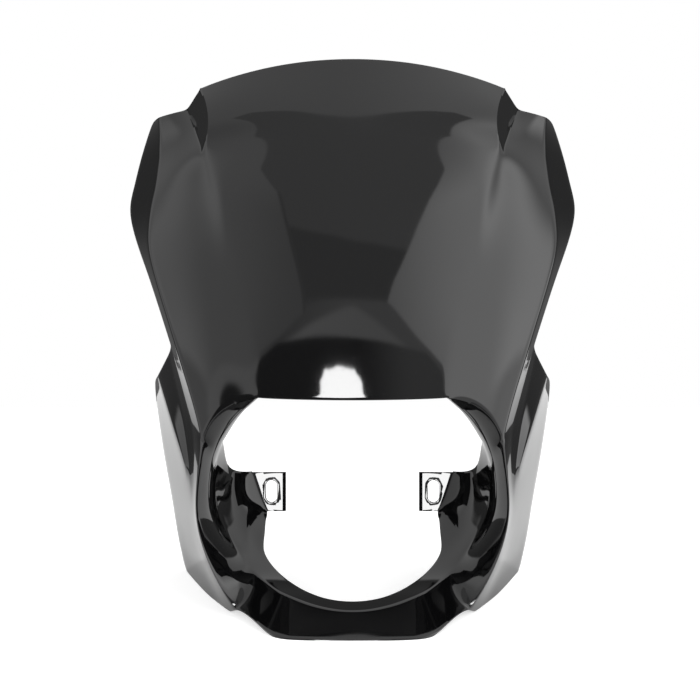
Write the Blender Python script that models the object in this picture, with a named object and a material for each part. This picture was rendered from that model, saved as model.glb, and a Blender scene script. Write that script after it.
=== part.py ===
"""Headlight fairing for a motorbike: one moulded sheet of gloss black plastic, 3 mm thick.

The form is drawn in the headlamp's own frame, in millimetres: X to the side, Y backwards along the
lamp's beam, Z up. Rails run down the right half of the fairing, and a cage of quads is laid between
them, mirrored, given its wall and subdivided. Last, the fairing is tipped back by LEAN, so that it
stands on its bottom edge at Z = 0.
"""

import math

import bmesh
import bpy
from mathutils import Matrix, Vector

MM = 0.001

WALL = 3.0
LEAN = math.radians(12.2)
LIP_DEPTH = 20.0
LIP_HEIGHT = -109.0
TRIM_ALLOWANCE = 4.0

RING_START = 6.0
RING_SWELL = 5.0
RING_CENTRE = -10.0
PANEL_CROWN = 2.1
SHOULDER_BULGE = 2.6

SLOT_WIDTH = 9.5
SLOT_LENGTH = 18.5
SLOT_CENTRE_X = 68.1
SLOT_CENTRE_Z = -0.8
SLOT_RIM = 2.2
SLOT_RIM_HEIGHT = 1.2
TAB_FACE = 150.0
TAB_INNER_X = 56.1
TAB_TOP = 15.2
TAB_BOTTOM = -17.7
TAB_CHAMFER = 2.3
TAB_SPARE = 4.0

# How far down each rail the upper rows of the cage lie, as a share of the rail's length.
UPPER_ROWS = (0.0, 0.055, 0.112, 0.17, 0.226, 0.30, 0.40, 0.50, 0.59, 0.67, 0.75, 0.84, 0.925, 1.0)
WING_TOP_ROW = 10
PANEL_COLUMNS = (0.0, 0.28, 0.54, 0.76, 0.91)
CORNER_STARTS = 0.55

# Rails of the cowl, from its top edge down to the lamp opening: points of (x, y, z).
CENTRE_LINE = (
    (0.0, 108.0, 358.1),
    (0.0, 79.0, 307.9),
    (0.0, 50.0, 245.0),
    (0.0, 30.0, 180.8),
    (0.0, 21.5, 121.9),
    (0.0, 20.0, 78.7),
)
PANEL_EDGE = (
    (126.4, 122.7, 335.2),
    (119.8, 105.1, 318.2),
    (118.0, 94.2, 297.4),
    (120.1, 91.8, 281.6),
    (114.3, 80.0, 260.0),
    (108.0, 69.0, 238.4),
    (98.4, 54.5, 197.7),
    (89.1, 44.0, 157.6),
    (79.3, 34.5, 118.0),
    (74.3, 31.0, 80.2),
)
STEP_FOOT = (
    (138.6, 137.0, 319.0),
    (129.9, 114.3, 297.4),
    (122.5, 94.8, 278.8),
    (119.2, 86.0, 259.0),
    (115.9, 77.0, 239.1),
    (111.1, 65.0, 210.2),
    (105.5, 52.5, 165.8),
    (97.9, 43.5, 118.0),
    (89.8, 39.5, 77.7),
)
RIDGE = (
    (162.2, 138.0, 312.9),
    (159.9, 127.5, 285.8),
    (162.8, 112.0, 249.8),
    (166.0, 103.5, 225.4),
    (167.0, 97.0, 203.7),
    (158.6, 86.0, 170.7),
    (148.1, 77.0, 138.1),
    (138.6, 70.0, 108.3),
    (127.8, 64.0, 75.5),
    (120.2, 60.0, 46.1),
)
FLANK_REAR = (
    (169.4, 160.0, 311.9),
    (173.7, 157.0, 298.1),
    (178.9, 150.0, 278.0),
    (184.0, 142.0, 252.2),
    (186.6, 135.0, 227.3),
    (177.2, 125.5, 201.0),
    (164.5, 113.0, 166.6),
    (148.5, 100.0, 119.6),
    (139.5, 90.0, 89.5),
    (129.7, 79.0, 57.4),
)

# The upper outer corner of the lamp opening, between the step's foot and the ridge.
OPENING_CORNER = ((103.5, 46.5, 70.8), (113.4, 53.0, 60.7))

# Rails of the side wing, one point for each row from the wing's top edge to the floor.
WING_VALLEY = (
    (151.1, 108.0, 115.5),
    (146.5, 104.0, 96.3),
    (141.8, 99.0, 78.3),
    (137.2, 93.0, 56.3),
    (134.2, 86.0, 34.8),
    (130.4, 79.5, 11.8),
    (130.8, 86.0, -10.2),
    (128.8, 93.0, -32.4),
    (123.9, 100.0, -52.5),
    (116.9, 107.0, -70.2),
    (112.7, 115.0, -88.3),
)
WING_RIDGE = (
    (163.1, 134.0, 96.3),
    (158.3, 127.0, 83.2),
    (152.3, 116.0, 66.7),
    (145.4, 103.0, 48.2),
    (138.6, 91.0, 30.7),
    (132.4, 83.0, 9.9),
    (135.1, 105.0, -10.5),
    (134.4, 118.0, -32.0),
    (130.5, 126.0, -51.3),
    (125.4, 133.0, -65.8),
    (123.6, 136.0, -78.3),
)
WING_REAR = (
    (170.6, 190.0, 92.2),
    (170.3, 192.0, 81.1),
    (168.8, 193.0, 66.3),
    (166.6, 193.0, 50.4),
    (164.2, 193.0, 34.0),
    (160.7, 193.5, 13.5),
    (156.1, 194.0, -11.1),
    (152.9, 194.5, -32.2),
    (150.2, 195.0, -48.1),
    (147.2, 195.0, -60.9),
    (144.2, 195.0, -71.1),
)

# The lower stretch of the flank's rear crease, below the lamp opening's corner.
LOWER_CREASE = (
    (128.0, 76.0, 41.9),
    (128.0, 74.0, 12.9),
    (128.8, 75.5, -10.0),
    (125.5, 78.0, -33.1),
    (119.0, 81.0, -54.6),
    (110.5, 84.0, -73.5),
    (101.0, 93.6, -93.1),
)

# Stations of the ring from the opening's corner round to the chin: front edge, rear edge.
RING_SIDE = (
    ((121.8, 58.8, 32.0), (112.9, 100.0, 18.5)),
    ((124.6, 60.0, 12.0), (114.6, 100.0, 3.4)),
    ((126.4, 62.0, -11.6), (112.8, 100.0, -10.4)),
    ((122.5, 63.7, -34.0), (106.5, 98.0, -24.9)),
    ((114.5, 66.0, -56.0), (96.2, 93.5, -41.5)),
    ((104.5, 69.0, -76.0), (83.9, 85.0, -58.3)),
    ((94.5, 71.0, -90.3), (74.0, 76.0, -66.4)),
)
RING_CHIN = (
    ((85.1, 60.0, -92.5), (64.9, 67.0, -72.1)),
    ((76.0, 43.0, -97.3), (54.9, 60.0, -76.7)),
    ((66.5, 30.0, -103.8), (45.4, 54.5, -80.2)),
    ((57.0, 23.5, -107.4), (35.9, 50.0, -83.3)),
    ((42.0, 21.0, -108.2), (25.4, 46.5, -85.9)),
    ((22.0, 20.2, -108.6), (13.0, 43.8, -88.0)),
    ((0.0, 20.0, -108.9), (0.0, 42.5, -88.7)),
)
RING_TOP_REAR = (
    (87.4, 58.0, 70.2),
    (98.1, 78.0, 55.9),
    (106.4, 93.0, 42.2),
    (110.5, 98.0, 30.9),
)

# The back plate's inner edge, from the tip of its tail down past the tab to the chin.
PLATE_TAIL = ((106.3, 106, 44.1), (105.7, 124, 30.9))
PLATE_MIDDLE = (
    (103.3, 138.0, 16.4),
    (101.7, 139.0, 0.7),
    (94.8, 136.0, -15.4),
    (89.9, 122.0, -32.0),
    (85.4, 105.0, -44.9),
)
PLATE_INNER = (
    (72.8, 128.0, -35.8),
    (74.5, 110.0, -47.4),
    (64.6, 94.0, -59.1),
    (55.4, 83.0, -66.1),
    (47.3, 76.0, -70.9),
    (39.7, 70.5, -74.7),
    (32.6, 66.5, -77.4),
    (25.5, 63.0, -79.6),
    (18.0, 60.5, -81.2),
    (9.5, 59.0, -82.3),
    (0.0, 58.0, -82.7),
)
TAB_FOLD_X = (84.6, 78.7, 72.8)

STEP_ROWS = 4
STEP_SHARPNESS = 1.0
WING_ROWS = 6
RIDGE_SHARPNESS = 0.75
FOLD_SHARPNESS = 0.75
BEND_SHARPNESS = 0.9
RIM_SHARPNESS = 0.6
SMOOTHING = 1


def clear_scene():
    for obj in list(bpy.data.objects):
        bpy.data.objects.remove(obj)


def curve_point(points, share):
    """The point at this share of the length of a smooth curve through the points."""
    points = [Vector(p) for p in points]
    ends = [2 * points[0] - points[1]] + points + [2 * points[-1] - points[-2]]
    fine = []
    for before, start, end, after in zip(ends, ends[1:], ends[2:], ends[3:]):
        for step in range(24):
            t = step / 24
            fine.append(
                0.5
                * (
                    2 * start
                    + (end - before) * t
                    + (2 * before - 5 * start + 4 * end - after) * t**2
                    + (3 * start - before - 3 * end + after) * t**3
                )
            )
    fine.append(points[-1])
    lengths = [(b - a).length for a, b in zip(fine, fine[1:])]
    left = share * sum(lengths)
    for start, end, length in zip(fine, fine[1:], lengths):
        if left <= length:
            return start.lerp(end, left / length)
        left -= length
    return fine[-1]


def held(points):
    """The points pushed out, so that the subdivided surface comes back to where they were."""
    inner = [b + (2 * b - a - c) / 6 for a, b, c in zip(points, points[1:], points[2:])]
    return [points[0], *inner, points[-1]]


def floor_height(depth):
    """Height of the floor under a point this far back, in the lamp's frame."""
    return LIP_HEIGHT + (depth - LIP_DEPTH) * math.tan(LEAN)


class Cage:
    """Named vertices, and the quads laid between them."""

    def __init__(self):
        self.mesh = bmesh.new()
        self.at = {}
        self.crease = self.mesh.edges.layers.float.new("crease_edge")

    def put(self, column, row, point):
        self.at[column, row] = self.mesh.verts.new(Vector(point))

    def lay(self, near, far):
        """Quads between two lines of vertices, each given as a list of names."""
        for a, b, c, d in zip(near, near[1:], far[1:], far):
            corners = [self.at[name] for name in (a, b, c, d)]
            if len(set(corners)) == 4:
                self.mesh.faces.new(corners)

    def sharpen(self, line, sharpness):
        """A crease along a line of vertices, of one sharpness or of one for each edge."""
        for place, (a, b) in enumerate(zip(line, line[1:])):
            edge = self.mesh.edges.get((self.at[a], self.at[b]))
            value = sharpness[place] if isinstance(sharpness, list) else sharpness
            edge[self.crease] = value


def lay_cowl(cage):
    """Raised centre panel, the step at its edge, the shoulder and the flank behind the ridge."""
    rows = len(UPPER_ROWS)
    rails = []
    for rail in (CENTRE_LINE, PANEL_EDGE, STEP_FOOT, RIDGE, FLANK_REAR):
        rails.append(held([curve_point(rail, share) for share in UPPER_ROWS]))
    for row, (share, centre, edge, foot, ridge, rear) in enumerate(zip(UPPER_ROWS, *rails)):
        for column, along in enumerate(PANEL_COLUMNS):
            crown = along**PANEL_CROWN
            point = centre + (edge - centre) * crown
            point.x = edge.x * along
            cage.put(f"panel_{column}", row, point)
        cage.put("panel_edge", row, edge)
        cage.put("foot", row, foot)
        blend = max(0.0, (share - CORNER_STARTS) / (1 - CORNER_STARTS)) ** 2.5
        for column, corner in enumerate(OPENING_CORNER):
            along = (column + 1) / (len(OPENING_CORNER) + 1)
            point = foot.lerp(ridge, along) - Vector((0, SHOULDER_BULGE, 0))
            straight = rails[2][-1].lerp(rails[3][-1], along)
            straight -= Vector((0, SHOULDER_BULGE, 0))
            cage.put(f"shoulder_{column}", row, point + (Vector(corner) - straight) * blend)
        cage.put("ridge", row, ridge)
        cage.put("flank", row, rear)
    columns = [f"panel_{column}" for column in range(len(PANEL_COLUMNS))]
    columns += ["panel_edge", "foot", "shoulder_0", "shoulder_1", "ridge", "flank"]
    for near, far in zip(columns, columns[1:]):
        cage.lay([(near, row) for row in range(rows)], [(far, row) for row in range(rows)])
    for column in ("panel_edge", "foot"):
        cage.sharpen([(column, row) for row in range(STEP_ROWS + 1)], STEP_SHARPNESS)
    cage.sharpen([("ridge", row) for row in range(rows)], RIDGE_SHARPNESS)


def lay_wing(cage):
    """Side wing: it goes on down and back from the flank, with a hollow under its top edge."""
    last = len(UPPER_ROWS) - 1
    for count, (front, _) in enumerate(RING_SIDE):
        cage.put("ridge", last + 1 + count, front)
    for count, point in enumerate(LOWER_CREASE):
        cage.put("flank", last + 1 + count, point)
    rows = range(WING_TOP_ROW, WING_TOP_ROW + len(WING_REAR))
    rails = {"valley": WING_VALLEY, "wing_ridge": WING_RIDGE, "rear": WING_REAR}
    for column, rail in rails.items():
        for row, point in zip(rows, rail):
            cage.put(column, row, point)
    lower = [row for row in rows if row >= last]
    cage.lay([("ridge", row) for row in lower], [("flank", row) for row in lower])
    columns = ["flank", *rails]
    for near, far in zip(columns, columns[1:]):
        cage.lay([(near, row) for row in rows], [(far, row) for row in rows])
    for column in ("flank", *rails):
        foot = cage.at[column, rows[-1]].co
        foot.z = floor_height(foot.y) - TRIM_ALLOWANCE
    for column in ("flank", "valley", "wing_ridge"):
        cage.sharpen([(column, row) for row in rows[:WING_ROWS]], BEND_SHARPNESS)


def lay_ring(cage):
    """Funnel wall that goes back from the folded front edge to the lamp, and the chin band."""
    last = len(UPPER_ROWS) - 1
    fronts = [("panel_edge", last), ("foot", last), ("shoulder_0", last), ("shoulder_1", last)]
    fronts += [("ridge", last + count) for count in range(len(RING_SIDE) + 1)]
    start = cage.at["panel_edge", last].co + Vector((0, RING_START, 0))
    rears = [start, *RING_TOP_REAR, *[rear for _, rear in RING_SIDE]]
    for count, (front, rear) in enumerate(RING_CHIN):
        cage.put("chin", count, front)
        fronts.append(("chin", count))
        rears.append(rear)
    sides = len(RING_TOP_REAR) + len(RING_SIDE)
    for station, (front, rear) in enumerate(zip(fronts, rears)):
        front = cage.at[front].co
        inward = Vector((-front.x, 0, RING_CENTRE - front.z)).normalized()
        swell = RING_SWELL * min(1, station, max(0, (sides + 1 - station) / 3))
        cage.put("ring_middle", station, front.lerp(Vector(rear), 0.5) + inward * swell)
        cage.put("ring_rear", station, rear)
    stations = range(len(fronts))
    cage.lay(fronts, [("ring_middle", s) for s in stations])
    cage.lay([("ring_middle", s) for s in stations], [("ring_rear", s) for s in stations])
    cage.sharpen(fronts[: len(RING_TOP_REAR) + len(RING_SIDE) + 1], FOLD_SHARPNESS)


def lay_plate(cage):
    """Back plate behind the ring, U-shaped, with a tab on each side for the lamp bracket."""
    tail = len(RING_TOP_REAR) - 1
    plate = tail + len(PLATE_TAIL)
    stations = range(plate, plate + len(TAB_FOLD_X) - 1 + len(PLATE_INNER) + 1)
    for count, point in enumerate(PLATE_TAIL):
        cage.put("plate_middle", tail + count, point)
    heights = (TAB_TOP, (TAB_TOP + TAB_BOTTOM) / 2, TAB_BOTTOM)
    end = TAB_INNER_X - TAB_SPARE
    for count, (fold, height) in enumerate(zip(TAB_FOLD_X, heights)):
        spare = (1 - count) * TAB_SPARE
        cage.put("plate_inner", plate + count, (fold, TAB_FACE, height))
        cage.put("tab_middle", plate + count, ((fold + end) / 2, TAB_FACE, height + spare))
        cage.put("tab_end", plate + count, (end, TAB_FACE, height + spare))
    for count, point in enumerate(PLATE_INNER):
        cage.put("plate_inner", plate + len(TAB_FOLD_X) + count, point)
    for count, station in enumerate(stations):
        if count < len(PLATE_MIDDLE):
            middle = Vector(PLATE_MIDDLE[count])
        else:
            rear = cage.at["ring_rear", station].co
            middle = rear.lerp(cage.at["plate_inner", station].co, 0.5)
        cage.put("plate_middle", station, middle)
    joined = range(tail, stations[-1] + 1)
    middle = [("plate_middle", station) for station in joined]
    cage.lay([("ring_rear", station) for station in joined], middle)
    for near, far, span in (
        ("plate_middle", "plate_inner", stations),
        ("plate_inner", "tab_middle", stations[:3]),
        ("tab_middle", "tab_end", stations[:3]),
    ):
        cage.lay([(near, station) for station in span], [(far, station) for station in span])
    cage.sharpen([("ring_rear", station) for station in joined], BEND_SHARPNESS)
    cage.sharpen([("plate_inner", station) for station in stations[:3]], BEND_SHARPNESS)


def to_stand():
    """From the lamp's frame in millimetres to the fairing as it stands, in metres."""
    tip = Matrix.Rotation(-LEAN, 4, "X")
    lip = Vector((0, LIP_DEPTH, LIP_HEIGHT))
    return Matrix.Scale(MM, 4) @ tip @ Matrix.Translation(-lip)


def gloss_black():
    material = bpy.data.materials.new("gloss_black_plastic")
    material.use_nodes = True
    shader = material.node_tree.nodes["Principled BSDF"]
    shader.inputs["Base Color"].default_value = (0.006, 0.006, 0.007, 1)
    shader.inputs["Roughness"].default_value = 0.08
    shader.inputs["IOR"].default_value = 1.52
    return material


def add_object(name, mesh):
    data = bpy.data.meshes.new(name)
    mesh.to_mesh(data)
    mesh.free()
    obj = bpy.data.objects.new(name, data)
    bpy.context.scene.collection.objects.link(obj)
    return obj


def slot_prism(name, width, length, front, back):
    """A bar with round ends that lies along the lamp's axis, at the slot of one tab."""
    mesh = bmesh.new()
    straight = (length - width) / 2
    outline = []
    for turn in range(24):
        angle = 2 * math.pi * (turn + 0.5) / 24
        rise = straight if math.sin(angle) > 0 else -straight
        x = SLOT_CENTRE_X + width / 2 * math.cos(angle)
        z = SLOT_CENTRE_Z + rise + width / 2 * math.sin(angle)
        outline.append(mesh.verts.new((x, front, z)))
    face = mesh.faces.new(outline)
    swept = bmesh.ops.extrude_face_region(mesh, geom=[face])
    moved = [item for item in swept["geom"] if isinstance(item, bmesh.types.BMVert)]
    bmesh.ops.translate(mesh, verts=moved, vec=(0, back - front, 0))
    bmesh.ops.recalc_face_normals(mesh, faces=mesh.faces)
    mesh.transform(to_stand())
    obj = add_object(name, mesh)
    mirror = obj.modifiers.new("other_side", "MIRROR")
    mirror.use_mirror_merge = False
    return obj


def tab_trim():
    """What is trimmed off round each tab, to leave straight edges, with a chamfer on the inner one."""
    mesh = bmesh.new()
    past = 4 * WALL
    loops = []
    for depth, inner in (
        (TAB_FACE - past, TAB_INNER_X + TAB_CHAMFER + past),
        (TAB_FACE + TAB_CHAMFER, TAB_INNER_X),
        (TAB_FACE + past, TAB_INNER_X),
    ):
        outline = (
            (TAB_INNER_X - 3 * TAB_SPARE, TAB_TOP + 3 * TAB_SPARE),
            (TAB_FOLD_X[0], TAB_TOP + 3 * TAB_SPARE),
            (TAB_FOLD_X[0], TAB_TOP),
            (inner, TAB_TOP),
            (inner, TAB_BOTTOM),
            (TAB_FOLD_X[2] - 1, TAB_BOTTOM),
            (TAB_FOLD_X[2] - 1, TAB_BOTTOM - 3 * TAB_SPARE),
            (TAB_INNER_X - 3 * TAB_SPARE, TAB_BOTTOM - 3 * TAB_SPARE),
        )
        loops.append([mesh.verts.new((x, depth, z)) for x, z in outline])
    for near, far in zip(loops, loops[1:]):
        for place in range(len(near)):
            after = (place + 1) % len(near)
            mesh.faces.new((near[place], near[after], far[after], far[place]))
    mesh.faces.new(loops[0])
    mesh.faces.new(loops[-1])
    bmesh.ops.recalc_face_normals(mesh, faces=mesh.faces)
    mesh.transform(to_stand())
    obj = add_object("tab_trim", mesh)
    mirror = obj.modifiers.new("other_side", "MIRROR")
    mirror.use_mirror_merge = False
    return obj


def floor_block():
    """Everything below the floor, to trim the bottom edge flat."""
    mesh = bmesh.new()
    bmesh.ops.create_cube(mesh, size=1)
    mesh.transform(Matrix.Translation((0, 0.1, -0.05)) @ Matrix.Diagonal((0.6, 0.6, 0.1, 1)))
    return add_object("floor_trim", mesh)


def hide_helper(obj):
    obj.hide_render = True
    obj.display_type = "WIRE"


def combine(obj, other, operation):
    modifier = obj.modifiers.new(other.name, "BOOLEAN")
    modifier.operation = operation
    modifier.object = other
    hide_helper(other)


def build_shell():
    cage = Cage()
    lay_cowl(cage)
    lay_wing(cage)
    lay_ring(cage)
    lay_plate(cage)
    bmesh.ops.recalc_face_normals(cage.mesh, faces=cage.mesh.faces)
    cage.mesh.normal_update()
    middle = cage.at["panel_0", 4].link_faces[0]
    if middle.normal.y > 0:
        bmesh.ops.reverse_faces(cage.mesh, faces=cage.mesh.faces)
    cage.mesh.transform(to_stand())
    shell = add_object("fairing_shell", cage.mesh)
    mirror = shell.modifiers.new("left_half", "MIRROR")
    mirror.merge_threshold = 0.00001
    wall = shell.modifiers.new("wall", "SOLIDIFY")
    wall.thickness = WALL * MM
    wall.offset = -1
    wall.use_even_offset = True
    wall.use_quality_normals = True
    wall.edge_crease_outer = RIM_SHARPNESS
    wall.edge_crease_inner = RIM_SHARPNESS
    smooth = shell.modifiers.new("smooth", "SUBSURF")
    smooth.levels = SMOOTHING
    smooth.render_levels = SMOOTHING
    rim_front = TAB_FACE - SLOT_RIM_HEIGHT
    rim_back = TAB_FACE + WALL / 2
    wide = SLOT_WIDTH + 2 * SLOT_RIM
    long = SLOT_LENGTH + 2 * SLOT_RIM
    combine(shell, tab_trim(), "DIFFERENCE")
    combine(shell, slot_prism("slot_rims", wide, long, rim_front, rim_back), "UNION")
    past = 4 * WALL
    bores = slot_prism("slots", SLOT_WIDTH, SLOT_LENGTH, TAB_FACE - past, TAB_FACE + past)
    combine(shell, bores, "DIFFERENCE")
    combine(shell, floor_block(), "DIFFERENCE")
    shell.data.materials.append(gloss_black())
    shell.data.shade_smooth()
    return shell


def centre_depth(shell):
    """Moves everything so that the middle of the fairing's depth lies at Y = 0."""
    bpy.context.view_layer.update()
    made = shell.evaluated_get(bpy.context.evaluated_depsgraph_get())
    depths = [corner[1] for corner in made.bound_box]
    for obj in bpy.data.objects:
        obj.location.y -= (min(depths) + max(depths)) / 2


clear_scene()
centre_depth(build_shell())
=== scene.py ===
import math

import bmesh
import bpy
from mathutils import Matrix, Vector


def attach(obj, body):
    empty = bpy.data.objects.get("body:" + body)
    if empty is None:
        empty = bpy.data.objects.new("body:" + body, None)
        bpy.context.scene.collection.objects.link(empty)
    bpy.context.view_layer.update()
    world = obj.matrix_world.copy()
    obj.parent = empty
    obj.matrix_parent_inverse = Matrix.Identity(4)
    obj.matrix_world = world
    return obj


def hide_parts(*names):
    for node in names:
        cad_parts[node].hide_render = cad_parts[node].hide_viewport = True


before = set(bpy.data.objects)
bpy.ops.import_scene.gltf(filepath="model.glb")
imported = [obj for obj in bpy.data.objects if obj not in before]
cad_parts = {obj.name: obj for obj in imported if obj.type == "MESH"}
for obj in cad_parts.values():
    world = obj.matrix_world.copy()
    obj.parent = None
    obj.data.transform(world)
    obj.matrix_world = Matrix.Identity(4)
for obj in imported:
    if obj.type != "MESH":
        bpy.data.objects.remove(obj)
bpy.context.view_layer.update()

# The headlight fairing is one sheet of gloss black ABS, 3 mm thick, moulded in one go. It is drawn
# in the headlamp's own frame, in millimetres: X to the side, Y backwards along the beam, Z up.
# The cowl comes first: rails down its right half, from the top edge to the lamp opening.
CENTRE_LINE = (
    (0.0, 108.0, 358.1),
    (0.0, 79.0, 307.9),
    (0.0, 50.0, 245.0),
    (0.0, 30.0, 180.8),
    (0.0, 21.5, 121.9),
    (0.0, 20.0, 78.7),
)
PANEL_EDGE = (
    (126.4, 122.7, 335.2),
    (119.8, 105.1, 318.2),
    (118.0, 94.2, 297.4),
    (120.1, 91.8, 281.6),
    (114.3, 80.0, 260.0),
    (108.0, 69.0, 238.4),
    (98.4, 54.5, 197.7),
    (89.1, 44.0, 157.6),
    (79.3, 34.5, 118.0),
    (74.3, 31.0, 80.2),
)
STEP_FOOT = (
    (138.6, 137.0, 319.0),
    (129.9, 114.3, 297.4),
    (122.5, 94.8, 278.8),
    (119.2, 86.0, 259.0),
    (115.9, 77.0, 239.1),
    (111.1, 65.0, 210.2),
    (105.5, 52.5, 165.8),
    (97.9, 43.5, 118.0),
    (89.8, 39.5, 77.7),
)
RIDGE = (
    (162.2, 138.0, 312.9),
    (159.9, 127.5, 285.8),
    (162.8, 112.0, 249.8),
    (166.0, 103.5, 225.4),
    (167.0, 97.0, 203.7),
    (158.6, 86.0, 170.7),
    (148.1, 77.0, 138.1),
    (138.6, 70.0, 108.3),
    (127.8, 64.0, 75.5),
    (120.2, 60.0, 46.1),
)
FLANK_REAR = (
    (169.4, 160.0, 311.9),
    (173.7, 157.0, 298.1),
    (178.9, 150.0, 278.0),
    (184.0, 142.0, 252.2),
    (186.6, 135.0, 227.3),
    (177.2, 125.5, 201.0),
    (164.5, 113.0, 166.6),
    (148.5, 100.0, 119.6),
    (139.5, 90.0, 89.5),
    (129.7, 79.0, 57.4),
)
COWL_ROWS = (0.0, 0.055, 0.112, 0.17, 0.226, 0.30, 0.40, 0.50, 0.59, 0.67, 0.75, 0.84, 0.925, 1.0)
PANEL_COLUMNS = (0.0, 0.28, 0.54, 0.76, 0.91)
PANEL_CROWN = 2.1
OPENING_CORNER = (Vector((103.5, 46.5, 70.8)), Vector((113.4, 53.0, 60.7)))
CORNER_START = 0.55
CORNER_CURVE = 2.5
SHOULDER_BULGE = Vector((0, 2.6, 0))
RAIL_STEPS = 24


def along_rail(points, share):
    """The point at this share of the length of a smooth curve through the points."""
    points = [Vector(point) for point in points]
    ends = [2 * points[0] - points[1]] + points + [2 * points[-1] - points[-2]]
    fine = []
    for before, start, end, after in zip(ends, ends[1:], ends[2:], ends[3:]):
        for step in range(RAIL_STEPS):
            t = step / RAIL_STEPS
            fine.append(
                0.5
                * (
                    2 * start
                    + (end - before) * t
                    + (2 * before - 5 * start + 4 * end - after) * t**2
                    + (3 * start - before - 3 * end + after) * t**3
                )
            )
    fine.append(points[-1])
    lengths = [(b - a).length for a, b in zip(fine, fine[1:])]
    left = share * sum(lengths)
    for start, end, length in zip(fine, fine[1:], lengths):
        if left <= length:
            return start.lerp(end, left / length)
        left -= length
    return fine[-1]


def held_rail(rail):
    """Points down a rail, pushed out a little, so that smoothing brings the surface back to it."""
    line = [along_rail(rail, share) for share in COWL_ROWS]
    inner = [b + (2 * b - a - c) / 6 for a, b, c in zip(line, line[1:], line[2:])]
    return [line[0], *inner, line[-1]]


def lay_sheet(name, lines):
    """A flat grid, whose columns of vertices are then laid along these lines of points."""
    bpy.ops.object.select_all(action="DESELECT")
    bpy.ops.mesh.primitive_grid_add(
        x_subdivisions=len(lines) - 1, y_subdivisions=len(lines[0]) - 1, size=200
    )
    sheet = bpy.context.object
    sheet.name = name
    for row in range(len(lines[0])):
        for column, line in enumerate(lines):
            sheet.data.vertices[row * len(lines) + column].co = line[row]
    return sheet


centre, panel_edge, step_foot, ridge, flank_crease = [
    held_rail(rail) for rail in (CENTRE_LINE, PANEL_EDGE, STEP_FOOT, RIDGE, FLANK_REAR)
]
panel_lines = []
for along in PANEL_COLUMNS:
    line = [a + (b - a) * along**PANEL_CROWN for a, b in zip(centre, panel_edge)]
    for point, edge_point in zip(line, panel_edge):
        point.x = edge_point.x * along
    panel_lines.append(line)
shoulder_lines = []
for place, corner in enumerate(OPENING_CORNER):
    along = (place + 1) / (len(OPENING_CORNER) + 1)
    straight = step_foot[-1].lerp(ridge[-1], along) - SHOULDER_BULGE
    line = []
    for share, foot_point, ridge_point in zip(COWL_ROWS, step_foot, ridge):
        blend = max(0.0, (share - CORNER_START) / (1 - CORNER_START)) ** CORNER_CURVE
        line.append(foot_point.lerp(ridge_point, along) - SHOULDER_BULGE + (corner - straight) * blend)
    shoulder_lines.append(line)
cowl = lay_sheet("cowl", [*panel_lines, panel_edge, step_foot, *shoulder_lines, ridge, flank_crease])

# The side wing goes on down and back from the cowl's flank: a fold, a hollow scoop under its top
# edge, a second fold, and a flat outer panel that runs back to a straight rear edge.
RING_SIDE = (
    ((121.8, 58.8, 32.0), (112.9, 100.0, 18.5)),
    ((124.6, 60.0, 12.0), (114.6, 100.0, 3.4)),
    ((126.4, 62.0, -11.6), (113.1, 106.0, -10.9)),
    ((122.5, 63.7, -34.0), (107.3, 110.0, -26.0)),
    ((114.5, 66.0, -56.0), (97.1, 108.0, -43.0)),
    ((104.5, 69.0, -76.0), (84.4, 95.0, -59.3)),
    ((94.5, 71.0, -90.3), (74.3, 83.0, -67.2)),
)
LOWER_CREASE = (
    (128.0, 76.0, 41.9),
    (128.0, 74.0, 12.9),
    (128.8, 75.5, -10.0),
    (125.5, 78.0, -33.1),
    (119.0, 81.0, -54.6),
    (110.5, 84.0, -73.5),
    (101.0, 93.6, -93.1),
)
WING_VALLEY = (
    (151.1, 108.0, 115.5),
    (146.5, 104.0, 96.3),
    (141.8, 99.0, 78.3),
    (137.2, 93.0, 56.3),
    (134.2, 86.0, 34.8),
    (130.4, 79.5, 11.8),
    (130.8, 86.0, -10.2),
    (128.8, 93.0, -32.4),
    (123.9, 100.0, -52.5),
    (116.9, 107.0, -70.2),
    (112.7, 115.0, -88.3),
)
WING_RIDGE = (
    (163.1, 134.0, 96.3),
    (158.3, 127.0, 83.2),
    (152.3, 116.0, 66.7),
    (145.4, 103.0, 48.2),
    (138.6, 91.0, 30.7),
    (132.4, 83.0, 9.9),
    (135.1, 105.0, -10.5),
    (134.4, 118.0, -32.0),
    (130.5, 126.0, -51.3),
    (125.4, 133.0, -65.8),
    (123.6, 136.0, -78.3),
)
WING_REAR = (
    (170.6, 190.0, 92.2),
    (170.3, 192.0, 81.1),
    (168.8, 193.0, 66.3),
    (166.6, 193.0, 50.4),
    (164.2, 193.0, 34.0),
    (160.7, 193.5, 13.5),
    (156.1, 194.0, -11.1),
    (152.9, 194.5, -32.2),
    (150.2, 195.0, -48.1),
    (147.2, 195.0, -60.9),
    (144.2, 195.0, -71.1),
)
WING_TOP_ROW = 10

# The fairing stands leaning back from its chin's foot, and is drawn a little too long for the last cut.
LEAN = math.radians(12.2)
CHIN_Y = 20.0
CHIN_Z = -109.0
CUT_SPARE = 4.0

ridge += [Vector(front) for front, _ in RING_SIDE]
flank_crease += [Vector(point) for point in LOWER_CREASE]
valley, wing_ridge, wing_rear = [
    [Vector(point) for point in rail] for rail in (WING_VALLEY, WING_RIDGE, WING_REAR)
]
for line in (flank_crease, valley, wing_ridge, wing_rear):
    line[-1].z = CHIN_Z - CUT_SPARE + (line[-1].y - CHIN_Y) * math.tan(LEAN)
last_row = len(COWL_ROWS) - 1
lower_side = lay_sheet("lower_side", [ridge[last_row:], flank_crease[last_row:]])
wing = lay_sheet("wing", [flank_crease[WING_TOP_ROW:], valley, wing_ridge, wing_rear])

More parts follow.
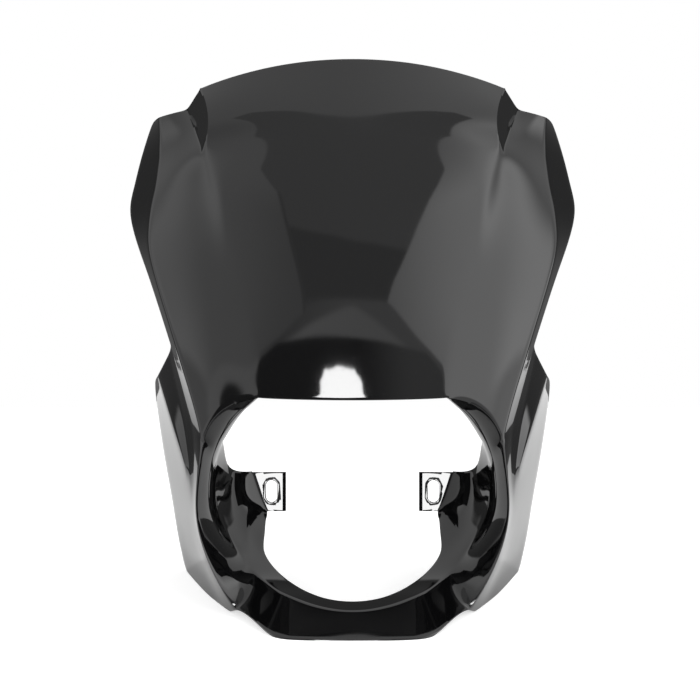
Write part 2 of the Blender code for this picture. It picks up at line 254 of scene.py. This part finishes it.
# The ring: from the fold at the lamp opening's front edge a funnel wall goes back to the lamp, and
# at the bottom it widens into the chin band that closes the fairing under the lamp.
RING_CHIN = (
    ((85.1, 60.0, -92.5), (65.0, 71.0, -72.6)),
    ((76.0, 43.0, -97.3), (54.9, 60.0, -76.7)),
    ((66.5, 30.0, -103.8), (45.4, 54.5, -80.2)),
    ((57.0, 23.5, -107.4), (35.9, 50.0, -83.3)),
    ((42.0, 21.0, -108.2), (25.4, 46.5, -85.9)),
    ((22.0, 20.2, -108.6), (13.0, 43.8, -88.0)),
    ((0.0, 20.0, -108.9), (0.0, 42.5, -88.7)),
)
RING_TOP_REAR = (
    (87.4, 74.0, 70.2),
    (98.1, 90.0, 55.9),
    (106.4, 97.0, 42.2),
    (110.5, 98.0, 30.9),
)
RING_TOP_LIP = Vector((0, 6, 0))
RING_MIDDLE_Z = -10.0
RING_SWELL = 5.0
SWELL_END = 12
SWELL_FADE = 3

opening_edge = [line[last_row] for line in (panel_edge, step_foot, *shoulder_lines)]
opening_edge += ridge[last_row:]
ring_rear = [panel_edge[last_row] + RING_TOP_LIP]
ring_rear += [Vector(point) for point in RING_TOP_REAR]
ring_rear += [Vector(rear) for _, rear in RING_SIDE]
for front, rear in RING_CHIN:
    opening_edge.append(Vector(front))
    ring_rear.append(Vector(rear))
ring_middle = []
for station, (front, rear) in enumerate(zip(opening_edge, ring_rear)):
    inward = Vector((-front.x, 0, RING_MIDDLE_Z - front.z)).normalized()
    swell = RING_SWELL * min(1, station, max(0, (SWELL_END - station) / SWELL_FADE))
    ring_middle.append(front.lerp(rear, 0.5) + inward * swell)
ring = lay_sheet("ring", [opening_edge, ring_middle, ring_rear])

# The back plate closes the gap behind the ring in a U, and bears a tab on each side for the lamp's
# bracket. Its tail narrows to a point behind the ring's upper corner.
PLATE_TAIL = ((106.3, 106, 44.1), (105.7, 124, 30.9))
PLATE_MIDDLE = (
    (103.3, 138.0, 16.4),
    (101.7, 139.0, 0.7),
    (95.0, 139.0, -15.6),
    (90.3, 129.0, -32.6),
    (85.8, 113.0, -45.7),
)
PLATE_INNER = (
    (72.8, 128.0, -35.8),
    (74.7, 114.0, -47.8),
    (64.8, 99.0, -59.7),
    (55.6, 88.0, -66.7),
    (47.4, 79.5, -71.3),
    (39.8, 72.5, -74.9),
    (32.6, 66.5, -77.4),
    (25.5, 63.0, -79.6),
    (18.0, 60.5, -81.2),
    (9.5, 59.0, -82.3),
    (0.0, 58.0, -82.7),
)
TAB_FACE = 150.0
TAB_INNER_X = 56.1
TAB_HEIGHTS = (15.2, -1.25, -17.7)
TAB_FOLD_X = (84.6, 78.7, 72.8)
TAB_SPARE = 4.0

tail_start = len(RING_TOP_REAR) - 1
plate_start = tail_start + len(PLATE_TAIL)
tab_fold = [Vector((x, TAB_FACE, z)) for x, z in zip(TAB_FOLD_X, TAB_HEIGHTS)]
tab_middle = []
tab_end = []
for fold, spare in zip(tab_fold, (TAB_SPARE, 0, -TAB_SPARE)):
    end_x = TAB_INNER_X - TAB_SPARE
    tab_middle.append(Vector(((fold.x + end_x) / 2, TAB_FACE, fold.z + spare)))
    tab_end.append(Vector((end_x, TAB_FACE, fold.z + spare)))
plate_inner = tab_fold + [Vector(point) for point in PLATE_INNER]
plate_middle = [Vector(point) for point in PLATE_TAIL + PLATE_MIDDLE]
for place in range(len(PLATE_MIDDLE), len(plate_inner)):
    plate_middle.append(ring_rear[plate_start + place].lerp(plate_inner[place], 0.5))
plate_outer = lay_sheet("plate_outer", [ring_rear[tail_start:], plate_middle])
plate = lay_sheet("plate", [plate_middle[len(PLATE_TAIL) :], plate_inner])
tab = lay_sheet("tab", [tab_fold, tab_middle, tab_end])

# The sheets are sewn into one skin along the lines that they share. Its folds are marked, its left
# half is mirrored from the right one, and it is given its 3 mm wall and smoothed. It stands a hair
# smaller than it is drawn, as its smoothed skin swells a little. The wall's inner side is marked.
WALL = 3.0
MM = 0.001
SAME_PLACE = 0.01
STEP_FOLD = 1.0
STEP_FOLD_POINTS = 5
RIDGE_FOLD = 0.86
WING_FOLD = 0.96
WING_FOLD_POINTS = 6
OPENING_FOLD = 0.62
OPENING_FOLD_POINTS = 12
REAR_FOLD = 0.9
WALL_CREASE = 0.6

# In metres: how far the chin's foot is ahead of the fairing's middle, and the small shift and scale
# that keep the smoothed skin inside the solid's box.
CHIN_AHEAD = 0.111681
SETTLE_Y = -0.00033
SETTLE_SCALE = (0.9984, 0.9951, 0.9998)


def mark_fold(line, sharpness):
    """Picks the edges that run along a line of points, and creases them."""
    bpy.ops.mesh.select_all(action="DESELECT")
    mesh = bmesh.from_edit_mesh(bpy.context.object.data)
    for edge in mesh.edges:
        a, b = [vertex.co for vertex in edge.verts]
        for start, end in zip(line, line[1:]):
            there = (a - start).length + (b - end).length
            back = (a - end).length + (b - start).length
            if min(there, back) < SAME_PLACE:
                edge.select = True
    mesh.select_flush_mode()
    bmesh.update_edit_mesh(bpy.context.object.data)
    bpy.ops.transform.edge_crease(value=sharpness)


bpy.ops.object.select_all(action="DESELECT")
for sheet in (cowl, lower_side, wing, ring, plate_outer, plate, tab):
    sheet.select_set(True)
bpy.context.view_layer.objects.active = cowl
bpy.ops.object.join()
skin = bpy.context.object
skin.name = "fairing_moulding"
bpy.ops.object.mode_set(mode="EDIT")
bpy.ops.mesh.select_all(action="SELECT")
bpy.ops.mesh.remove_doubles(threshold=SAME_PLACE)
bpy.ops.mesh.normals_make_consistent(inside=False)
mark_fold(panel_edge[:STEP_FOLD_POINTS], STEP_FOLD)
mark_fold(step_foot[:STEP_FOLD_POINTS], STEP_FOLD)
mark_fold(ridge[: last_row + 1], RIDGE_FOLD)
for line in (flank_crease[WING_TOP_ROW:], valley, wing_ridge):
    mark_fold(line[:WING_FOLD_POINTS], WING_FOLD)
mark_fold(opening_edge[:OPENING_FOLD_POINTS], OPENING_FOLD)
mark_fold(ring_rear[tail_start:], REAR_FOLD)
mark_fold(tab_fold, REAR_FOLD)
bpy.ops.object.mode_set(mode="OBJECT")

# The cowl's faces come first and look forward, so that the wall is laid behind them.
if skin.data.polygons[4].normal.y > 0:
    skin.data.flip_normals()
stand = (
    Matrix.Translation((0, -CHIN_AHEAD, 0))
    @ Matrix.Scale(MM, 4)
    @ Matrix.Rotation(-LEAN, 4, "X")
    @ Matrix.Translation((0, -CHIN_Y, -CHIN_Z))
)
settle = Matrix.Translation((0, SETTLE_Y, 0)) @ Matrix.Diagonal((*SETTLE_SCALE, 1))
skin.matrix_world = settle @ stand
bpy.ops.object.transform_apply(location=True, rotation=True, scale=True)

# The wall gives its inner faces the second of two stand-in materials, from which they get their mark.
stand_ins = [bpy.data.materials.new(name) for name in ("outer_side", "inner_side")]
for stand_in in stand_ins:
    skin.data.materials.append(stand_in)
half = skin.modifiers.new("left_half", "MIRROR")
half.merge_threshold = SAME_PLACE * MM
wall = skin.modifiers.new("wall", "SOLIDIFY")
wall.thickness = WALL * MM
wall.offset = -1
wall.use_even_offset = True
wall.use_quality_normals = True
wall.edge_crease_outer = WALL_CREASE
wall.edge_crease_inner = WALL_CREASE
wall.material_offset = 1
wall.material_offset_rim = 0
smooth = skin.modifiers.new("smooth", "SUBSURF")
smooth.levels = 3
smooth.render_levels = 3
for name in ("left_half", "wall", "smooth"):
    bpy.ops.object.modifier_apply(modifier=name)
inner_side = skin.data.attributes.new("inner_side", "FLOAT", "FACE")
for polygon in skin.data.polygons:
    inner_side.data[polygon.index].value = polygon.material_index

# The tabs are trimmed to straight edges, with a chamfer on the inner one. Each has a slot for a bracket
# bolt, with a raised rim moulded round it. The bottom edge is trimmed flat after moulding, so that the
# fairing stands on it.
SLOT_WIDTH = 9.5
SLOT_LENGTH = 18.5
SLOT_RIM = 2.2
SLOT_CENTRE = (68.1, -0.8)
RIM_FRONT = TAB_FACE - 1.2
RIM_BACK = TAB_FACE + 1.5
TOOL_FRONT = 138.0
TOOL_BACK = 162.0
CHAMFER_BACK = 152.3
TRIM_REACH = 12.0
TRIM_GAP = 1.0
TRIM_CORNERS = 8
FLOOR_BLOCK = (0.6, 0.6, 0.1)
ROUNDING = 0.6
ROUNDED_OVER = math.radians(50)
SMOOTH_UNDER = math.radians(40)


def on_both_sides(tool):
    """Stands a tool up with the fairing, and mirrors it to the other side."""
    tool.matrix_world = stand
    bpy.ops.object.transform_apply(location=True, rotation=True, scale=True)
    other = tool.modifiers.new("other_side", "MIRROR")
    other.use_mirror_merge = False
    bpy.ops.object.modifier_apply(modifier="other_side")
    return tool


def slot_bar(name, width, length, front, back):
    """A bar with round ends through each tab."""
    bpy.ops.object.select_all(action="DESELECT")
    bpy.ops.mesh.primitive_cylinder_add(vertices=48, radius=width / 2, depth=back - front)
    bar = bpy.context.object
    bar.name = name
    for vertex in bar.data.vertices:
        x, y, z = vertex.co
        rise = (length - width) / 2 if y > 0 else (width - length) / 2
        vertex.co = (SLOT_CENTRE[0] + x, (front + back) / 2 - z, SLOT_CENTRE[1] + rise + y)
    return on_both_sides(bar)


def work(tool, operation):
    """Joins the tool's solid to the moulding, or cuts it out of it."""
    bpy.ops.object.select_all(action="DESELECT")
    skin.select_set(True)
    bpy.context.view_layer.objects.active = skin
    step = skin.modifiers.new(tool.name, "BOOLEAN")
    step.operation = operation
    step.object = tool
    bpy.ops.object.modifier_apply(modifier=tool.name)
    bpy.data.objects.remove(tool)


tab_top = TAB_HEIGHTS[0]
tab_foot = TAB_HEIGHTS[-1]
top_x = TAB_FOLD_X[0]
foot_x = TAB_FOLD_X[-1] - TRIM_GAP
far_x = TAB_INNER_X - TRIM_REACH
trim_rows = (
    (TOOL_FRONT, TAB_INNER_X + CHAMFER_BACK - TOOL_FRONT),
    (CHAMFER_BACK, TAB_INNER_X),
    (TOOL_BACK, TAB_INNER_X),
)
bpy.ops.object.select_all(action="DESELECT")
bpy.ops.mesh.primitive_grid_add(x_subdivisions=TRIM_CORNERS - 1, y_subdivisions=2, size=100)
trim = bpy.context.object
trim.name = "tab_trim"
for row, (depth, inner_x) in enumerate(trim_rows):
    outline = (
        (far_x, tab_top + TRIM_REACH),
        (top_x, tab_top + TRIM_REACH),
        (top_x, tab_top),
        (inner_x, tab_top),
        (inner_x, tab_foot),
        (foot_x, tab_foot),
        (foot_x, tab_foot - TRIM_REACH),
        (far_x, tab_foot - TRIM_REACH),
    )
    for column, (x, z) in enumerate(outline):
        trim.data.vertices[row * TRIM_CORNERS + column].co = (x, depth, z)
bpy.ops.object.mode_set(mode="EDIT")
mesh = bmesh.from_edit_mesh(trim.data)
mesh.verts.ensure_lookup_table()
bpy.ops.mesh.select_all(action="DESELECT")
closing_side = (0, TRIM_CORNERS, 2 * TRIM_CORNERS - 1, TRIM_CORNERS - 1)
for row in (0, 1):
    mesh.faces.new([mesh.verts[row * TRIM_CORNERS + place] for place in closing_side])
for row in (0, 2):
    mesh.faces.new([mesh.verts[row * TRIM_CORNERS + column] for column in range(TRIM_CORNERS)])
bmesh.update_edit_mesh(trim.data)
bpy.ops.mesh.select_all(action="SELECT")
bpy.ops.mesh.normals_make_consistent(inside=False)
bpy.ops.object.mode_set(mode="OBJECT")
rim_width = SLOT_WIDTH + 2 * SLOT_RIM
rim_length = SLOT_LENGTH + 2 * SLOT_RIM
work(on_both_sides(trim), "DIFFERENCE")
work(slot_bar("rim", rim_width, rim_length, RIM_FRONT, RIM_BACK), "UNION")
work(slot_bar("slot", SLOT_WIDTH, SLOT_LENGTH, TOOL_FRONT, TOOL_BACK), "DIFFERENCE")
bpy.ops.object.select_all(action="DESELECT")
bpy.ops.mesh.primitive_cube_add(size=1, location=(0, 0, -FLOOR_BLOCK[2] / 2), scale=FLOOR_BLOCK)
work(bpy.context.object, "DIFFERENCE")
rounding = skin.modifiers.new("rounding", "BEVEL")
rounding.limit_method = "ANGLE"
rounding.angle_limit = ROUNDED_OVER
rounding.width = ROUNDING * MM
rounding.segments = 2
bpy.ops.object.modifier_apply(modifier="rounding")
bpy.ops.object.shade_smooth_by_angle(angle=SMOOTH_UNDER)

# The plastic: black ABS with a bright gloss. Its skin has a slight orange peel and a trace of dust
# and wiping, its edges are worn a little duller, and the inner side is left dull from the mould.
GRAINS = (
    ("wave", 22, 1),
    ("peel", 260, 1),
    ("wipe", 9, 5),
    ("dust", 900, 2),
    ("mould", 1500, 1),
)
FRESH_BLACK = (0.002, 0.002, 0.0022, 1)
WORN_BLACK = (0.01, 0.01, 0.0104, 1)
WORN_ROUGHNESS = 0.12
MOULD_ROUGHNESS = 0.3
PEEL_HEIGHT = 0.018
MOULD_HEIGHT = 0.12
BUMP_DISTANCE = 0.00012

surface = bpy.data.node_groups.new("moulded_surface", "ShaderNodeTree")
surface.interface.new_socket("Place", in_out="INPUT", socket_type="NodeSocketVector")
surface.interface.new_socket("Inner", in_out="INPUT", socket_type="NodeSocketFloat")
surface.interface.new_socket("Edge", in_out="INPUT", socket_type="NodeSocketFloat")
surface.interface.new_socket("Colour", in_out="OUTPUT", socket_type="NodeSocketColor")
surface.interface.new_socket("Roughness", in_out="OUTPUT", socket_type="NodeSocketFloat")
surface.interface.new_socket("Height", in_out="OUTPUT", socket_type="NodeSocketFloat")
nodes = surface.nodes
links = surface.links
given = nodes.new("NodeGroupInput")
result = nodes.new("NodeGroupOutput")
grain = {}
for name, scale, detail in GRAINS:
    noise = nodes.new("ShaderNodeTexNoise")
    noise.name = name
    noise.inputs["Scale"].default_value = scale
    noise.inputs["Detail"].default_value = detail
    links.new(given.outputs["Place"], noise.inputs["Vector"])
    grain[name] = noise.outputs["Fac"]


def spread(value, low, high, start, end):
    """The value, spread from low..high over start..end."""
    node = nodes.new("ShaderNodeMapRange")
    for name, part in (("From Min", low), ("From Max", high), ("To Min", start), ("To Max", end)):
        node.inputs[name].default_value = part
    links.new(value, node.inputs["Value"])
    return node.outputs[0]


def reckon(operation, first, second):
    """A maths node on two outputs, or on one output and a number."""
    node = nodes.new("ShaderNodeMath")
    node.operation = operation
    for socket, value in zip(node.inputs, (first, second)):
        if isinstance(value, float):
            socket.default_value = value
        else:
            links.new(value, socket)
    return node.outputs[0]


worn = spread(given.outputs["Edge"], 0.56, 0.68, 0.0, 1.0)
worn = reckon("MULTIPLY", worn, spread(grain["wipe"], 0.42, 0.6, 0.25, 1.0))
specks = spread(grain["dust"], 0.68, 0.76, 0.0, 0.16)
rough = spread(grain["wipe"], 0.35, 0.7, 0.035, 0.075)
rough = reckon("ADD", reckon("ADD", rough, specks), reckon("MULTIPLY", worn, WORN_ROUGHNESS))
rough = reckon("ADD", rough, reckon("MULTIPLY", given.outputs["Inner"], MOULD_ROUGHNESS))
links.new(rough, result.inputs["Roughness"])
tone = nodes.new("ShaderNodeMix")
tone.data_type = "RGBA"
tone.inputs[6].default_value = FRESH_BLACK
tone.inputs[7].default_value = WORN_BLACK
links.new(reckon("MAXIMUM", worn, reckon("MULTIPLY", specks, 3.0)), tone.inputs[0])
links.new(tone.outputs[2], result.inputs["Colour"])
inner_grain = reckon("MULTIPLY", grain["mould"], given.outputs["Inner"])
height = reckon("ADD", grain["wave"], reckon("MULTIPLY", grain["peel"], PEEL_HEIGHT))
height = reckon("ADD", height, reckon("MULTIPLY", inner_grain, MOULD_HEIGHT))
links.new(height, result.inputs["Height"])

gloss_black = bpy.data.materials.new("gloss_black_abs")
gloss_black.use_nodes = True
nodes = gloss_black.node_tree.nodes
links = gloss_black.node_tree.links
shader = nodes["Principled BSDF"]
shader.inputs["IOR"].default_value = 1.52
made = nodes.new("ShaderNodeGroup")
made.node_tree = surface
place = nodes.new("ShaderNodeTexCoord")
side_mark = nodes.new("ShaderNodeAttribute")
side_mark.attribute_name = "inner_side"
shape = nodes.new("ShaderNodeNewGeometry")
bump = nodes.new("ShaderNodeBump")
bump.inputs["Strength"].default_value = 1.0
bump.inputs["Distance"].default_value = BUMP_DISTANCE
links.new(place.outputs["Object"], made.inputs["Place"])
links.new(side_mark.outputs["Fac"], made.inputs["Inner"])
links.new(shape.outputs["Pointiness"], made.inputs["Edge"])
links.new(made.outputs["Colour"], shader.inputs["Base Color"])
links.new(made.outputs["Roughness"], shader.inputs["Roughness"])
links.new(made.outputs["Height"], bump.inputs["Height"])
links.new(bump.outputs["Normal"], shader.inputs["Normal"])
skin.data.materials.clear()
skin.data.materials.append(gloss_black)
for stand_in in stand_ins:
    bpy.data.materials.remove(stand_in)
for polygon in skin.data.polygons:
    polygon.material_index = 0
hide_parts("fairing_shell")
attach(skin, "root")

# The floor, pale and plain, is the top of a table. It glows a little, so that it looks as white as the
# tent behind it, and less so where the gloss mirrors it.
FLOOR_MIDDLE = (0, 0.15, 0)
FLOOR_SIZE = (1.64, 2.7, 1)
FLOOR_GREY = (0.8, 0.8, 0.8, 1)
GLOW_SEEN = 0.54
GLOW_MIRRORED = 0.2

bpy.ops.object.select_all(action="DESELECT")
bpy.ops.mesh.primitive_plane_add(size=1, location=FLOOR_MIDDLE, scale=FLOOR_SIZE)
floor = bpy.context.object
floor.name = "floor"
pale = bpy.data.materials.new("pale_floor")
pale.use_nodes = True
nodes = pale.node_tree.nodes
links = pale.node_tree.links
nodes.clear()
out = nodes.new("ShaderNodeOutputMaterial")
diffuse = nodes.new("ShaderNodeBsdfDiffuse")
diffuse.inputs["Color"].default_value = FLOOR_GREY
glow = nodes.new("ShaderNodeEmission")
path = nodes.new("ShaderNodeLightPath")
both = nodes.new("ShaderNodeAddShader")
seen = nodes.new("ShaderNodeMath")
seen.operation = "MULTIPLY"
seen.inputs[1].default_value = GLOW_SEEN
links.new(path.outputs["Is Camera Ray"], seen.inputs[0])
mirrored = nodes.new("ShaderNodeMath")
mirrored.operation = "MULTIPLY_ADD"
mirrored.inputs[1].default_value = GLOW_MIRRORED
links.new(path.outputs["Is Glossy Ray"], mirrored.inputs[0])
links.new(seen.outputs[0], mirrored.inputs[2])
links.new(mirrored.outputs[0], glow.inputs["Strength"])
links.new(diffuse.outputs[0], both.inputs[0])
links.new(glow.outputs[0], both.inputs[1])
links.new(both.outputs[0], out.inputs["Surface"])
floor.data.materials.append(pale)

# The studio is a light tent, painted by direction: a pale ceiling with a straight front edge, a white
# wall on each side, the right one brighter, a dimmer front with a dark opening round the camera, and
# one round lamp in it. Each edge is a straight one, so it is a plane through the middle of the tent.
AHEAD = (0, 1, 0)
WALL_FOOT = (0, 3.1, -1)
SKIRT_TOP = (0, 0.6, -1)
LOW_DARK = ((-0.51, -1.0, 0.0), (0.22, -0.36, -1.0))
HIGH_DARK = ((-1.0, -0.3, 0.0), (0.0, -0.9, -1.0))
SEAM = ((1, 0.21, 0.36), (-1, 0.05, 0.345), WALL_FOOT)
FRONT = ((1, 0.19, 0.352), (-1, 0.035, 0.34), WALL_FOOT)
CORNER = ((1, -0.3, 0.65), (-1, -0.05, 0.55), WALL_FOOT, (1, 1.3, 0), (-1, 1.3, 0))
LOWER_CLOTH = (-0.2, 1.12, -1)
SKIRT = ((0.335, 0.7, -1), (-0.53, 0.755, -1), SKIRT_TOP, AHEAD)
STRIP = ((0.2, 0.57, -1), (-0.38, 0.57, -1), AHEAD)
OPENING = ((-0.05, 0.43, -1), (0.335, 0.67, -1), (-0.6, 0.76, -1), (1, 1.9, 0), (-1, 1.2, 0))
LAMP_PLACE = (-0.0742, -0.9875, 0.1392)
LAMP_LEVEL = 22.0
DARK_LEVEL = 0.17
DEGREES_PER_RADIAN = 57.3

studio = bpy.data.worlds.new("light_tent")
bpy.context.scene.world = studio
studio.use_nodes = True
nodes = studio.node_tree.nodes
links = studio.node_tree.links


def sum_node(operation, first, second=None):
    """A maths node of these two inputs, each a value or another node's output."""
    node = nodes.new("ShaderNodeMath")
    node.operation = operation
    for socket, value in zip(node.inputs, (first, second)):
        if isinstance(value, (int, float)):
            socket.default_value = value
        elif value is not None:
            links.new(value, socket)
    return node.outputs[0]


def ramp(value, low, high, start=0.0, end=1.0):
    """Goes smoothly from start to end, while the value goes from low to high."""
    node = nodes.new("ShaderNodeMapRange")
    node.interpolation_type = "SMOOTHSTEP"
    for name, part in (("From Min", low), ("From Max", high), ("To Min", start), ("To Max", end)):
        node.inputs[name].default_value = part
    links.new(value, node.inputs["Value"])
    return node.outputs[0]


def within(edges, soft=0.012, both_sides=False):
    """1 on the positive side of all of these edges. With both_sides, left and right are alike."""
    mask = 1.0
    for side_part, ahead_part, up_part in edges:
        total = sum_node("MULTIPLY", wide if both_sides else side, side_part)
        total = sum_node("ADD", total, sum_node("MULTIPLY", ahead, ahead_part))
        total = sum_node("ADD", total, sum_node("MULTIPLY", up, up_part))
        mask = sum_node("MULTIPLY", ramp(total, -soft, soft), mask)
    return mask


def blend_in(level, value, mask):
    """The level so far, replaced by the value where the mask is 1."""
    node = nodes.new("ShaderNodeMix")
    for socket, part in zip((node.inputs[0], node.inputs[2], node.inputs[3]), (mask, level, value)):
        if isinstance(part, (int, float)):
            socket.default_value = part
        else:
            links.new(part, socket)
    return node.outputs[0]


direction = nodes.new("ShaderNodeTexCoord").outputs["Generated"]
axes = nodes.new("ShaderNodeSeparateXYZ")
links.new(direction, axes.inputs[0])
side = axes.outputs["X"]
ahead = sum_node("MULTIPLY", axes.outputs["Y"], -1)
up = axes.outputs["Z"]
wide = sum_node("ABSOLUTE", side)
turn = sum_node("MULTIPLY", sum_node("ARCTAN2", wide, ahead), DEGREES_PER_RADIAN)
on_right = ramp(side, -0.02, 0.05)

# The walls grow brighter towards the sides and fade out behind; the ceiling is even.
left_wall = blend_in(ramp(turn, 25, 62, 0.72, 1.02), 1.5, ramp(turn, 62, 84))
left_wall = blend_in(left_wall, 1.0, ramp(turn, 88, 104))
right_wall = blend_in(ramp(turn, 8, 58, 1.35, 2.45), 3.0, ramp(turn, 62, 78))
right_wall = blend_in(right_wall, 1.1, ramp(turn, 78, 100))
walls = blend_in(left_wall, right_wall, on_right)
ceiling = blend_in(1.02, 1.4, ramp(side, -0.1, 0.5))
level = blend_in(walls, ceiling, ramp(up, 0.72, 0.88))

# Below, the cloths run on, lit as the floor is.
level = blend_in(level, blend_in(0.88, 1.9, on_right), ramp(up, 0.03, -0.05))

# Behind the fairing the tent is open and dark: low down on both sides, and higher in the middle.
level = blend_in(level, DARK_LEVEL, within(LOW_DARK, soft=0.03, both_sides=True))
level = blend_in(level, DARK_LEVEL, within(HIGH_DARK, soft=0.05, both_sides=True))

# The front, between the walls' edges: two dim cloths, one over the other, and a dark seam beside them.
corner = within(CORNER)
seam = sum_node("MAXIMUM", within(SEAM), corner)
front = sum_node("MAXIMUM", within(FRONT), corner)
level = blend_in(level, 0.45, seam)
level = blend_in(level, blend_in(0.45, 0.65, ramp(side, -0.2, 0.5, 0.95, 1.25)), front)
level = blend_in(level, 0.44, sum_node("MULTIPLY", front, within([LOWER_CLOTH], soft=0.02)))
level = blend_in(level, 0.7, sum_node("MULTIPLY", front, within([SKIRT_TOP], soft=0.04)))

# Under the walls: a grey skirt, a light strip of cloth, and the dark opening round the camera.
level = blend_in(level, ramp(side, -0.9, 0.1, 0.38, 0.75), within(SKIRT))
level = blend_in(level, ramp(side, -0.6, 0.3, 1.25, 1.05), within(STRIP, soft=0.02))
level = blend_in(level, ramp(side, 0.0, 0.42, 0.12, 0.5), within(OPENING))

# The lamp, with a slightly ragged edge, and the plain white that the camera sees behind the fairing.
ragged = nodes.new("ShaderNodeTexNoise")
ragged.inputs["Scale"].default_value = 14
ragged.inputs["Detail"].default_value = 1
links.new(direction, ragged.inputs["Vector"])
off_lamp = nodes.new("ShaderNodeVectorMath")
off_lamp.operation = "DISTANCE"
links.new(direction, off_lamp.inputs[0])
off_lamp.inputs[1].default_value = LAMP_PLACE
reach = sum_node("ADD", off_lamp.outputs["Value"], sum_node("MULTIPLY", ragged.outputs["Fac"], 0.06))
level = blend_in(level, LAMP_LEVEL, ramp(reach, 0.198, 0.186))
path = nodes.new("ShaderNodeLightPath")
level = blend_in(level, 1.0, path.outputs["Is Camera Ray"])
links.new(level, nodes["Background"].inputs["Strength"])
nodes["Background"].inputs["Color"].default_value = (1, 1, 1, 1)
studio.cycles.sampling_method = "MANUAL"
studio.cycles.sample_map_resolution = 1024

# The camera stands in front, 1.6 m off and a little above, and looks along the lamp's beam.
CAMERA_PLACE = (0, -1600, 118)
LENS = 106.86
LENS_SHIFT = -0.00357

camera = bpy.data.objects.new("camera", bpy.data.cameras.new("camera"))
bpy.context.scene.collection.objects.link(camera)
camera.location = stand @ Vector(CAMERA_PLACE)
camera.rotation_euler = (math.radians(90) - LEAN, 0, 0)
camera.data.lens = LENS
camera.data.shift_x = LENS_SHIFT
bpy.context.scene.camera = camera

bpy.context.scene.view_settings.view_transform = "Standard"
